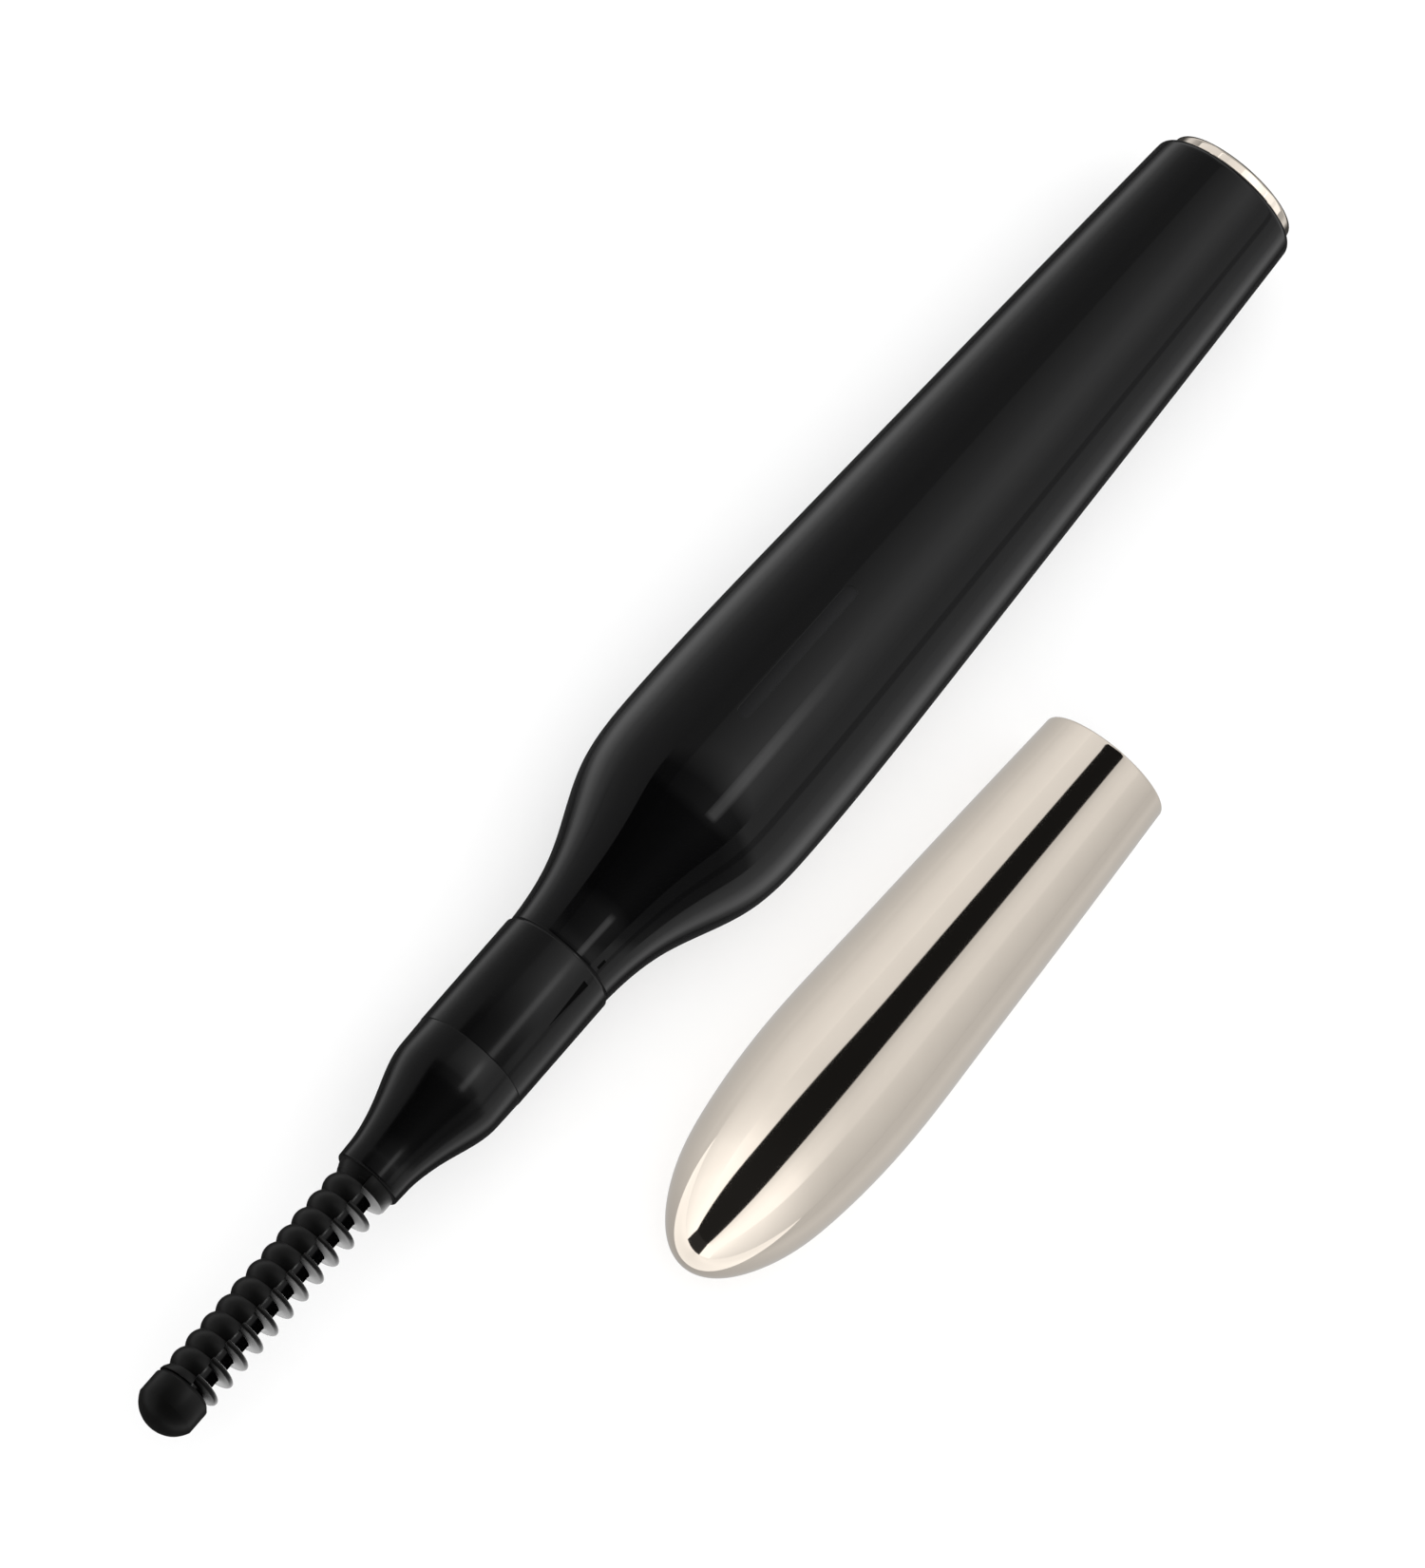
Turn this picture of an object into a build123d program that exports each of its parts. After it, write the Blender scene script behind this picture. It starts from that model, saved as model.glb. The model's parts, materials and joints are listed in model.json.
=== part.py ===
"""Heated eyelash curler pen: a black barrel with a warmed comb, and its loose champagne cap.

Frame, in millimetres: the pen lies along X, from its tail at low X to its comb tip at high X, on the
plane Z = 0. The cap lies beside it on the +Y side. The origin is the bottom centre of the whole set.
Angles round the pen are counted from +Y towards +Z, so 90 degrees is straight up.
"""
from build123d import *
from math import cos, sin, radians
import os

os.makedirs("parts", exist_ok=True)

# ---------------------------------------------------------------- driving dimensions
PEN_LENGTH = 157.7        # tail cap's face to comb tip
BELLY_R = 11.0            # widest radius of the barrel
BELLY_X = 75.4            # where it is widest, from the tail cap's face
SHELL_TAIL = 1.2          # tail end face of the barrel shells
NECK_X = 99.1             # end of the barrel's neck
NECK_R = 5.74             # a little slimmer than the collar in front of it
WALL = 1.5                # wall of the barrel shells
FIT = 0.06                # radial running clearance of the turning pieces
GAP = 0.1                 # face gap between turning pieces

CELL_R = 5.25             # AAA cell
CELL_CAN = 43.7
CELL_NUB = 0.8
CELL_X = 9.2

COLLAR_R = 5.92           # cylinder that the cap slides over
NOSE_X = 111.9            # joint between the collar and the nose cone
NOSE_END = 126.8
SPIGOT_R = 4.29

FIN_COUNT = 12
FIN_PITCH = 2.174
FIN_X = 128.1             # first fin
FIN_R = 3.12
LOBE_R = 2.92             # crest of the spine between two fins
VALLEY_R = 2.52
HEATER_R = 1.8
TIP_R = 3.0
TIP_X = 152.9

CAP_LENGTH = 62.6
CAP_R = 8.6
CAP_BELLY = 39.3          # from the mouth to the widest place
CAP_WALL = 0.5
CAP_BORE_R = 5.97
CAP_BORE_DEPTH = 12.5
CAP_YAW = 0.8             # the cap lies this many degrees off the pen's direction
CAP_MOUTH_X = 49.9        # mouth of the cap, counted as the pen's lengths are
CAP_SIDE = 26.2           # from the pen's axis to the mouth's centre

MARK_TURN = 101           # angle of the status window round the barrel
MARK_X = 65.0
MARK_LENGTH = 16.7
MARK_WIDTH = 1.5
POINTER_TURN = 56         # angle of the switch pointer and of its index line
TAIL_LUGS = 3
LUG_TURN = 60             # turn that frees the tail cap
SWITCH_RADIUS = 2.4       # circle of the switch's contacts

# ---------------------------------------------------------------- the pen's frame
CAP_REACH = CAP_SIDE + CAP_BELLY * sin(radians(CAP_YAW)) + CAP_R
PEN_Y = (BELLY_R - CAP_REACH) / 2
TAIL = Vector(-PEN_LENGTH / 2, PEN_Y, BELLY_R)
PEN_AXIS = Axis(TAIL, (1, 0, 0))


def section(turn=90):
    """Plane through the pen's axis: local x runs to the tip and local y is the radius at this angle."""
    a = radians(turn)
    return Plane(origin=TAIL, x_dir=(1, 0, 0), z_dir=(0, -sin(a), cos(a)))


def across(x, turn=0):
    """Plane square to the pen's axis, x from the tail, facing the tip, local x at this angle."""
    a = radians(turn)
    return Plane(origin=TAIL + Vector(x, 0, 0), x_dir=(0, cos(a), sin(a)), z_dir=(1, 0, 0))


def outward(turn, radius, x):
    """Plane that faces away from the pen's axis at this angle, its local x along the pen."""
    a = radians(turn)
    spot = TAIL + Vector(x, radius * cos(a), radius * sin(a))
    return Plane(origin=spot, x_dir=(1, 0, 0), z_dir=(0, cos(a), sin(a)))


# ================================================================ barrel
TAIL_EDGE = (2.0, 7.7)        # where the rounded tail edge meets the long taper
TAPER = [(20.0, 8.65), (37.4, 9.5), (54.9, 10.35)]
SHOULDER = [(83.2, 10.3), (87.6, 8.65), (92.0, 6.9)]
NECK_BORE_X = 95.2


def rear_curve(inset=0.0, start=TAIL_EDGE):
    """Long taper from the tail edge up to the belly, drawn inside the surface by inset."""
    points = [start] + [(x, r - inset) for x, r in TAPER] + [(BELLY_X, BELLY_R - inset)]
    return Spline(points, tangents=[(1, 0.055), (1, 0)])


def front_curve(inset=0.0, end=(NECK_X, NECK_R)):
    """Shoulder from the belly down to the neck."""
    points = [(BELLY_X, BELLY_R - inset)] + [(x, r - inset) for x, r in SHOULDER] + [end]
    return Spline(points, tangents=[(1, 0), (1, -0.05 if inset == 0 else -0.2)])


def shell_half(start):
    """Half of the barrel's wall from this angle on, with the tail lip and half of the neck's bore."""
    lip_r = 5.6
    lip_x = 2.6
    inner_tail = (lip_x, 6.32)
    inner_neck = (NECK_BORE_X, 4.8)
    with BuildPart() as half:
        with BuildSketch(section(start)):
            with BuildLine():
                Line((SHELL_TAIL, lip_r), (SHELL_TAIL, 6.95))
                RadiusArc((SHELL_TAIL, 6.95), TAIL_EDGE, 0.85)
                rear_curve()
                front_curve()
                Polyline((NECK_X, NECK_R), (NECK_X, SPIGOT_R + FIT), (NECK_BORE_X, SPIGOT_R + FIT), inner_neck)
                front_curve(WALL, inner_neck)
                rear_curve(WALL, inner_tail)
                Polyline(inner_tail, (lip_x, lip_r), (SHELL_TAIL, lip_r))
            make_face()
        revolve(axis=PEN_AXIS, revolution_arc=180)
        # notches in the tail lip, where the tail cap's lugs pass once it is turned
        for lug in range(TAIL_LUGS):
            with BuildSketch(across(SHELL_TAIL - GAP, lug * 360 / TAIL_LUGS + LUG_TURN)):
                with Locations((5.6, 0)):
                    Rectangle(0.75, 2.4)
            extrude(amount=lip_x, mode=Mode.SUBTRACT)
    return half.part


with BuildPart() as handle_top_shell:
    add(shell_half(0))
    # slot for the status window
    with BuildSketch(outward(MARK_TURN, 8.0, MARK_X)):
        SlotOverall(MARK_LENGTH, MARK_WIDTH)
    extrude(amount=4.0, mode=Mode.SUBTRACT)
    # engraved index line that the switch pointer is read against
    with BuildSketch(outward(POINTER_TURN, 5.66, NECK_X - 1.0)):
        Rectangle(1.0, 0.35)
    extrude(amount=1.0, mode=Mode.SUBTRACT)
handle_top_shell.part.label = "handle_top_shell"
export_step(handle_top_shell.part, "parts/handle_top_shell.step")

with BuildPart() as handle_bottom_shell:
    add(shell_half(180))
handle_bottom_shell.part.label = "handle_bottom_shell"
export_step(handle_bottom_shell.part, "parts/handle_bottom_shell.step")

# smoked window: a slim bar that follows the barrel, a little below its surface
with BuildPart() as status_window:
    window_sink = 0.15
    with BuildSketch(section(MARK_TURN - 20)):
        with BuildLine():
            rear_curve(window_sink, (3.5, 7.78 - window_sink))
            Line((BELLY_X, BELLY_R - window_sink), (BELLY_X, BELLY_R - WALL))
            rear_curve(WALL, (3.5, 7.78 - WALL))
            Line((3.5, 7.78 - WALL), (3.5, 7.78 - window_sink))
        make_face()
    revolve(axis=PEN_AXIS, revolution_arc=40)
    with BuildSketch(outward(MARK_TURN, 8.0, MARK_X)):
        SlotOverall(MARK_LENGTH, MARK_WIDTH)
    extrude(amount=4.0, mode=Mode.INTERSECT)
status_window.part.label = "status_window"
export_step(status_window.part, "parts/status_window.step")

# ================================================================ inside the barrel
BOARD_Z = 1.0                 # top of the rails that carry the board, above the axis
BOARD_THICK = 1.0
LED_X = MARK_X
LED_HEIGHT = 0.8
BULKHEAD_X = [56.2, 83.8]
RAIL_Y = 5.0

with BuildPart() as light_pipe:
    pipe_low = BOARD_Z + BOARD_THICK + LED_HEIGHT + 0.3
    with BuildSketch(outward(MARK_TURN, pipe_low, LED_X)):
        Rectangle(4.0, 1.6)
    with BuildSketch(outward(MARK_TURN, 8.8, LED_X)):
        Rectangle(12.6, 1.2)
    loft()
light_pipe.part.label = "light_pipe"
export_step(light_pipe.part, "parts/light_pipe.step")

# plastic tube that holds the cell, with the bayonet groove of the tail cap
TUBE_TAIL = 2.65
TUBE_FRONT = 56.0
TUBE_R = 6.25
TUBE_BORE_R = CELL_R + 0.15
GROOVE_R = 5.95
GROOVE_X = [3.3, 4.5]

with BuildPart() as battery_tube:
    with BuildSketch(section()):
        with BuildLine():
            Polyline(
                (TUBE_TAIL, TUBE_BORE_R),
                (TUBE_TAIL, TUBE_R),
                (TUBE_FRONT, TUBE_R),
                (TUBE_FRONT, 2.4),
                (TUBE_FRONT - 1.4, 2.4),
                (TUBE_FRONT - 1.4, TUBE_BORE_R),
                (GROOVE_X[1], TUBE_BORE_R),
                (GROOVE_X[1], GROOVE_R),
                (GROOVE_X[0], GROOVE_R),
                (GROOVE_X[0], TUBE_BORE_R),
                close=True,
            )
        make_face()
    revolve(axis=PEN_AXIS)
    for lug in range(TAIL_LUGS):
        with BuildSketch(across(TUBE_TAIL - GAP, lug * 360 / TAIL_LUGS + LUG_TURN)):
            with Locations((5.6, 0)):
                Rectangle(0.7, 2.4)
        extrude(amount=GROOVE_X[0] - TUBE_TAIL + 2 * GAP, mode=Mode.SUBTRACT)
    # channel under the tube for the return strip
    with BuildSketch(across(6.5, 270)):
        with Locations((6.1, 0)):
            Rectangle(0.5, 2.8)
    extrude(amount=TUBE_FRONT, mode=Mode.SUBTRACT)
battery_tube.part.label = "battery_tube"
export_step(battery_tube.part, "parts/battery_tube.step")

with BuildPart() as return_strip:
    with BuildSketch(across(6.8, 270)):
        with Locations((6.0, 0)):
            Rectangle(0.2, 2.4)
    extrude(amount=TUBE_FRONT - 6.8)
return_strip.part.label = "return_strip"
export_step(return_strip.part, "parts/return_strip.step")

with BuildPart() as battery_cell:
    with BuildSketch(section()):
        with BuildLine():
            Polyline(
                (CELL_X, 0),
                (CELL_X, CELL_R - 0.5),
                (CELL_X + 0.5, CELL_R),
                (CELL_X + CELL_CAN - 0.7, CELL_R),
                (CELL_X + CELL_CAN, CELL_R - 0.7),
                (CELL_X + CELL_CAN, 1.9),
                (CELL_X + CELL_CAN + CELL_NUB, 1.9),
                (CELL_X + CELL_CAN + CELL_NUB, 0),
                close=True,
            )
        make_face()
    revolve(axis=PEN_AXIS)
battery_cell.part.label = "battery_cell"
export_step(battery_cell.part, "parts/battery_cell.step")

# brass contact ahead of the cell: a dished disc with a tab through the tube's front wall
PLUS_X = CELL_X + CELL_CAN + CELL_NUB

with BuildPart() as battery_plus_contact:
    with BuildSketch(section()):
        with BuildLine():
            Polyline((PLUS_X, 0), (PLUS_X, 1.4), (PLUS_X + 0.45, 2.2), (PLUS_X + 0.45, 4.9),
                     (PLUS_X + 0.85, 4.9), (PLUS_X + 0.85, 0), close=True)
        make_face()
    revolve(axis=PEN_AXIS)
    with BuildSketch(across(PLUS_X + 0.85)):
        Rectangle(3.0, 0.4)
    extrude(amount=3.4)
battery_plus_contact.part.label = "battery_plus_contact"
export_step(battery_plus_contact.part, "parts/battery_plus_contact.step")

# frame that carries the control board and the switch: two bulkheads joined by two rails
BULKHEAD_R = [8.75, 7.9]
BULKHEAD_BORE = [3.0, 4.0]

with BuildPart() as inner_chassis:
    for x, r, bore in zip(BULKHEAD_X, BULKHEAD_R, BULKHEAD_BORE):
        with BuildSketch(across(x)):
            Circle(r)
            Circle(bore, mode=Mode.SUBTRACT)
        extrude(amount=2.0)
    for side in (-1, 1):
        with BuildSketch(across(BULKHEAD_X[0] + 1.0)):
            with Locations((side * RAIL_Y, BOARD_Z - 1.2)):
                Rectangle(1.8, 2.4)
        extrude(amount=BULKHEAD_X[1] - BULKHEAD_X[0])
inner_chassis.part.label = "inner_chassis"
export_step(inner_chassis.part, "parts/inner_chassis.step")

with BuildPart() as control_board:
    board_length = BULKHEAD_X[1] - BULKHEAD_X[0] - 2.6
    with BuildSketch(across(BULKHEAD_X[0] + 2.3)):
        with Locations((0, BOARD_Z + BOARD_THICK / 2)):
            Rectangle(11.4, BOARD_THICK)
    extrude(amount=board_length)
control_board.part.label = "control_board"
export_step(control_board.part, "parts/control_board.step")

BOARD_TOP = BOARD_Z + BOARD_THICK

with BuildPart() as status_led:
    with BuildSketch(outward(90, BOARD_TOP, LED_X)):
        with Locations((0, -0.6)):
            Rectangle(3.0, 1.6)
    extrude(amount=LED_HEIGHT)
status_led.part.label = "status_led"
export_step(status_led.part, "parts/status_led.step")

# controller chip, power transistor and two capacitors
with BuildPart() as board_components:
    for x, y, length, width, height in (
        (75.0, 0.0, 4.0, 4.0, 0.9),
        (80.0, -2.6, 3.0, 2.6, 1.1),
        (80.0, 2.6, 2.0, 1.2, 0.8),
        (60.5, 2.8, 2.0, 1.2, 0.8),
    ):
        with BuildSketch(outward(90, BOARD_TOP, x)):
            with Locations((0, y)):
                Rectangle(length, width)
        extrude(amount=height)
board_components.part.label = "board_components"
export_step(board_components.part, "parts/board_components.step")

# fixed half of the turning switch, and its brass studs
SWITCH_X = BULKHEAD_X[1] + 2.4

with BuildPart() as switch_base:
    with BuildSketch(across(BULKHEAD_X[1])):
        Circle(BULKHEAD_BORE[1] - 0.02)
    extrude(amount=SWITCH_X - BULKHEAD_X[1])
switch_base.part.label = "switch_base"
export_step(switch_base.part, "parts/switch_base.step")

with BuildPart() as switch_contacts:
    for stud in range(3):
        with BuildSketch(across(SWITCH_X, 45 * stud)):
            with Locations((SWITCH_RADIUS, 0)):
                Circle(0.6)
        extrude(amount=0.3)
switch_contacts.part.label = "switch_contacts"
export_step(switch_contacts.part, "parts/switch_contacts.step")

# ================================================================ tail cap
TAIL_CAP_R = 6.75
PLUG_R = TUBE_BORE_R - FIT
PLUG_END = 6.2

with BuildPart() as tail_cap:
    with BuildSketch(section()):
        with BuildLine():
            Line((0, 0), (0, TAIL_CAP_R - 0.5))
            RadiusArc((0, TAIL_CAP_R - 0.5), (0.5, TAIL_CAP_R), 0.5)
            Polyline((0.5, TAIL_CAP_R), (SHELL_TAIL - GAP, TAIL_CAP_R), (SHELL_TAIL - GAP, 2.0), (2.2, 2.0),
                     (2.2, 0), (0, 0))
        make_face()
    revolve(axis=PEN_AXIS)
tail_cap.part.label = "tail_cap"
export_step(tail_cap.part, "parts/tail_cap.step")

with BuildPart() as tail_plug:
    with BuildSketch(section()):
        with BuildLine():
            Polyline(
                (SHELL_TAIL - GAP, 2.05),
                (SHELL_TAIL - GAP, PLUG_R),
                (PLUG_END, PLUG_R),
                (PLUG_END, 4.3),
                (2.9, 4.3),
                (2.9, 0),
                (2.25, 0),
                (2.25, 2.05),
                close=True,
            )
        make_face()
    revolve(axis=PEN_AXIS)
    for lug in range(TAIL_LUGS):
        with BuildSketch(across(GROOVE_X[0] + 0.15, lug * 360 / TAIL_LUGS)):
            with Locations((5.35, 0)):
                Rectangle(0.8, 1.7)
        extrude(amount=0.9)
tail_plug.part.label = "tail_plug"
export_step(tail_plug.part, "parts/tail_plug.step")

SPRING_WIRE_R = 0.28
SPRING_COIL_R = 3.5
SPRING_X = [3.3, 8.8]

with BuildPart() as battery_spring:
    with BuildLine() as spring_path:
        Helix(
            pitch=(SPRING_X[1] - SPRING_X[0]) / 4,
            height=SPRING_X[1] - SPRING_X[0],
            radius=SPRING_COIL_R,
            center=TAIL + Vector(SPRING_X[0], 0, 0),
            direction=(1, 0, 0),
        )
    with BuildSketch(Plane(origin=spring_path.line @ 0, z_dir=spring_path.line % 0)):
        Circle(SPRING_WIRE_R)
    sweep(path=spring_path.line, is_frenet=True)
battery_spring.part.label = "battery_spring"
export_step(battery_spring.part, "parts/battery_spring.step")

# ================================================================ head
COLLAR_X = NECK_X + GAP
SPIGOT_X = 88.3
HEAD_BORE_R = 3.3

with BuildPart() as head_collar:
    with BuildSketch(section()):
        with BuildLine():
            Polyline(
                (SPIGOT_X, HEAD_BORE_R),
                (SPIGOT_X, SPIGOT_R),
                (91.0, SPIGOT_R),
                (91.0, 4.9),
                (92.6, 4.9),
                (92.6, SPIGOT_R),
                (COLLAR_X, SPIGOT_R),
                (COLLAR_X, COLLAR_R - 0.2),
                (COLLAR_X + 0.2, COLLAR_R),
                (NOSE_X, COLLAR_R),
                (NOSE_X, 4.6),
                (101.5, 4.6),
                (101.5, HEAD_BORE_R),
                close=True,
            )
        make_face()
    revolve(axis=PEN_AXIS)
    # engraved pointer of the on/off twist: a slim wedge, wide at the neck
    with BuildSketch(outward(POINTER_TURN, COLLAR_R - 0.14, COLLAR_X + 1.2)):
        with BuildLine():
            Polyline((0, -0.35), (5.4, 0), (0, 0.35), close=True)
        make_face()
    extrude(amount=1.0, mode=Mode.SUBTRACT)
head_collar.part.label = "head_collar"
export_step(head_collar.part, "parts/head_collar.step")

NOSE_BORE_R = 2.95

with BuildPart() as nose_cone:
    with BuildSketch(section()):
        with BuildLine():
            Polyline((107.0, 3.6), (107.0, 4.58), (NOSE_X, 4.58), (NOSE_X, COLLAR_R - 0.04),
                     (115.0, 5.82))
            Spline([(115.0, 5.82), (118.1, 5.17), (120.3, 4.43), (122.5, 3.84), (125.0, 3.48)],
                   tangents=[(1, -0.03), (1, -0.05)])
            Polyline((125.0, 3.48), (NOSE_END - 0.25, 3.42), (NOSE_END, 3.2), (NOSE_END, NOSE_BORE_R),
                     (117.0, NOSE_BORE_R), (117.0, 3.6), (107.0, 3.6))
        make_face()
    revolve(axis=PEN_AXIS)
nose_cone.part.label = "nose_cone"
export_step(nose_cone.part, "parts/nose_cone.step")

# comb: thin fins over the front half, joined by a scalloped spine over the back half
COMB_BORE_R = HEATER_R + 0.04
PLUG_X = 119.0
SPINE_TURN = 86               # where the spine starts, just short of straight up
FIN_ROOT = 0.38               # half thickness at the heater
FIN_EDGE = 0.27               # half thickness at the rim
SPINE_END = TIP_X


def fin_place(number):
    return FIN_X + number * FIN_PITCH


with BuildPart() as comb_guard:
    # plug inside the nose and short collar in front of it
    with BuildSketch(section()):
        with BuildLine():
            Polyline(
                (PLUG_X, COMB_BORE_R),
                (PLUG_X, NOSE_BORE_R - 0.03),
                (NOSE_END, NOSE_BORE_R - 0.03),
                (FIN_X, VALLEY_R),
                (FIN_X, COMB_BORE_R),
                close=True,
            )
        make_face()
    revolve(axis=PEN_AXIS)
    # the spine: one lobe between each pair of fins, with a sharp valley at each fin
    with BuildSketch(section(SPINE_TURN)):
        with BuildLine():
            for lobe in range(FIN_COUNT - 1):
                start = fin_place(lobe)
                ThreePointArc((start, VALLEY_R), (start + FIN_PITCH / 2, LOBE_R), (start + FIN_PITCH, VALLEY_R))
            Polyline((fin_place(FIN_COUNT - 1), VALLEY_R), (SPINE_END, LOBE_R), (SPINE_END, COMB_BORE_R),
                     (FIN_X, COMB_BORE_R), (FIN_X, VALLEY_R))
        make_face()
    revolve(axis=PEN_AXIS, revolution_arc=2 * (180 - SPINE_TURN))
    # the first fin backs onto the nose, the others stand free
    with BuildSketch(section(-SPINE_TURN - 2)):
        with BuildLine():
            Polyline((NOSE_END + 0.05, COMB_BORE_R), (NOSE_END + 0.05, FIN_R), (FIN_X, FIN_R),
                     (FIN_X + FIN_EDGE, FIN_R - 0.2), (FIN_X + FIN_ROOT, COMB_BORE_R), close=True)
        make_face()
    revolve(axis=PEN_AXIS, revolution_arc=2 * (SPINE_TURN + 2))
    for number in range(1, FIN_COUNT):
        x = fin_place(number)
        with BuildSketch(section(-SPINE_TURN - 2)):
            with BuildLine():
                Polyline((x - FIN_EDGE, FIN_R - 0.12), (x - FIN_ROOT, COMB_BORE_R), (x + FIN_ROOT, COMB_BORE_R),
                         (x + FIN_EDGE, FIN_R - 0.12))
                ThreePointArc((x + FIN_EDGE, FIN_R - 0.12), (x, FIN_R), (x - FIN_EDGE, FIN_R - 0.12))
            make_face()
        revolve(axis=PEN_AXIS, revolution_arc=2 * (SPINE_TURN + 2))
comb_guard.part.label = "comb_guard"
export_step(comb_guard.part, "parts/comb_guard.step")

with BuildPart() as comb_tip:
    tip_shoulder = 155.7
    with BuildSketch(section()):
        with BuildLine():
            Polyline((SPINE_END, 0), (SPINE_END, 2.7), (SPINE_END + 0.45, TIP_R), (tip_shoulder, TIP_R))
            Spline([(tip_shoulder, TIP_R), (156.9, 2.15), (PEN_LENGTH, 0)], tangents=[(1, -0.45), (0, -1)])
            Line((PEN_LENGTH, 0), (SPINE_END, 0))
        make_face()
    revolve(axis=PEN_AXIS)
comb_tip.part.label = "comb_tip"
export_step(comb_tip.part, "parts/comb_tip.step")

# heater: an anodised tube, a ceramic rod in it, and a resistance wire wound on the rod
HEATER_X = [112.0, TIP_X]
HEATER_BORE_R = 1.45
CORE_R = 0.95
COIL_R = 1.15
COIL_WIRE_R = 0.12
COIL_X = [127.5, 151.5]
COIL_TURNS = 11

with BuildPart() as heater_tube:
    with BuildSketch(across(HEATER_X[0])):
        Circle(HEATER_R)
        Circle(HEATER_BORE_R, mode=Mode.SUBTRACT)
    extrude(amount=HEATER_X[1] - HEATER_X[0])
heater_tube.part.label = "heater_tube"
export_step(heater_tube.part, "parts/heater_tube.step")

with BuildPart() as ceramic_core:
    with BuildSketch(across(126.5)):
        Circle(CORE_R)
    extrude(amount=TIP_X - 0.3 - 126.5)
ceramic_core.part.label = "ceramic_core"
export_step(ceramic_core.part, "parts/ceramic_core.step")

with BuildPart() as heater_coil:
    with BuildLine() as coil_path:
        Helix(
            pitch=(COIL_X[1] - COIL_X[0]) / COIL_TURNS,
            height=COIL_X[1] - COIL_X[0],
            radius=COIL_R,
            center=TAIL + Vector(COIL_X[0], 0, 0),
            direction=(1, 0, 0),
        )
    with BuildSketch(Plane(origin=coil_path.line @ 0, z_dir=coil_path.line % 0)):
        Circle(COIL_WIRE_R)
    sweep(path=coil_path.line, is_frenet=True)
heater_coil.part.label = "heater_coil"
export_step(heater_coil.part, "parts/heater_coil.step")

# moving half of the switch, on the rear end of the head's spigot
ROTOR_X = SPIGOT_X - 1.3

with BuildPart() as switch_rotor:
    with BuildSketch(across(ROTOR_X)):
        Circle(3.9)
    extrude(amount=1.3)
switch_rotor.part.label = "switch_rotor"
export_step(switch_rotor.part, "parts/switch_rotor.step")

with BuildPart() as switch_wiper:
    with BuildSketch(across(ROTOR_X - 0.2)):
        Circle(SWITCH_RADIUS + 0.5)
        Circle(SWITCH_RADIUS - 0.5, mode=Mode.SUBTRACT)
    extrude(amount=0.2)
switch_wiper.part.label = "switch_wiper"
export_step(switch_wiper.part, "parts/switch_wiper.step")

# the head's two leads, with the thermal cut-off in one of them
LEAD_R = 0.3
LEAD_FAR = 125.5
CUTOFF_X = [99.0, 104.0]
CUTOFF_R = 1.1
LEAD_WIDE = 1.7               # distance of the leads from the axis at the switch
LEAD_NARROW = 0.6             # and inside the heater tube


def pen_point(x, y):
    return TAIL + Vector(x, y, 0)


with BuildPart() as heater_leads:
    for side in (-1, 1):
        with BuildLine() as lead_path:
            FilletPolyline(
                pen_point(CUTOFF_X[1] if side == 1 else SPIGOT_X, side * LEAD_WIDE),
                pen_point(106.5, side * LEAD_WIDE),
                pen_point(110.5, side * LEAD_NARROW),
                pen_point(LEAD_FAR, side * LEAD_NARROW),
                radius=6.0,
            )
        with BuildSketch(Plane(origin=lead_path.line @ 0, z_dir=lead_path.line % 0)):
            Circle(LEAD_R)
        sweep(path=lead_path.line)
    with BuildSketch(across(SPIGOT_X)):
        with Locations((LEAD_WIDE, 0)):
            Circle(LEAD_R)
    extrude(amount=CUTOFF_X[0] - SPIGOT_X)
heater_leads.part.label = "heater_leads"
export_step(heater_leads.part, "parts/heater_leads.step")

with BuildPart() as thermal_cutoff:
    with BuildSketch(across(CUTOFF_X[0])):
        with Locations((LEAD_WIDE, 0)):
            Circle(CUTOFF_R)
    extrude(amount=CUTOFF_X[1] - CUTOFF_X[0])
thermal_cutoff.part.label = "thermal_cutoff"
export_step(thermal_cutoff.part, "parts/thermal_cutoff.step")

# ================================================================ cap
CAP_TURN = radians(CAP_YAW)
CAP_DIR = Vector(cos(CAP_TURN), sin(CAP_TURN), 0)
CAP_MOUTH = Vector(TAIL.X + CAP_MOUTH_X, TAIL.Y + CAP_SIDE, CAP_R)
CAP_AXIS = Axis(CAP_MOUTH, CAP_DIR)
CAP_SECTION = Plane(origin=CAP_MOUTH, x_dir=CAP_DIR, z_dir=(sin(CAP_TURN), -cos(CAP_TURN), 0))
CAP_LIP_R = 6.72


def cap_curve(inset=0.0):
    """Outer surface from the mouth to the closed end, or one drawn inside it."""
    mouth = (0.5, CAP_LIP_R + 0.04 - inset)
    belly = (CAP_BELLY, CAP_R - inset)
    Spline([mouth, (17.4, 7.66 - inset), (30.5, 8.28 - inset), belly], tangents=[(1, 0.055), (1, 0)])
    Spline([belly, (50.2, 7.84 - inset), (56.7, 6.14 - inset), (CAP_LENGTH - inset, 0)],
           tangents=[(1, 0), (0, -1)])


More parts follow.
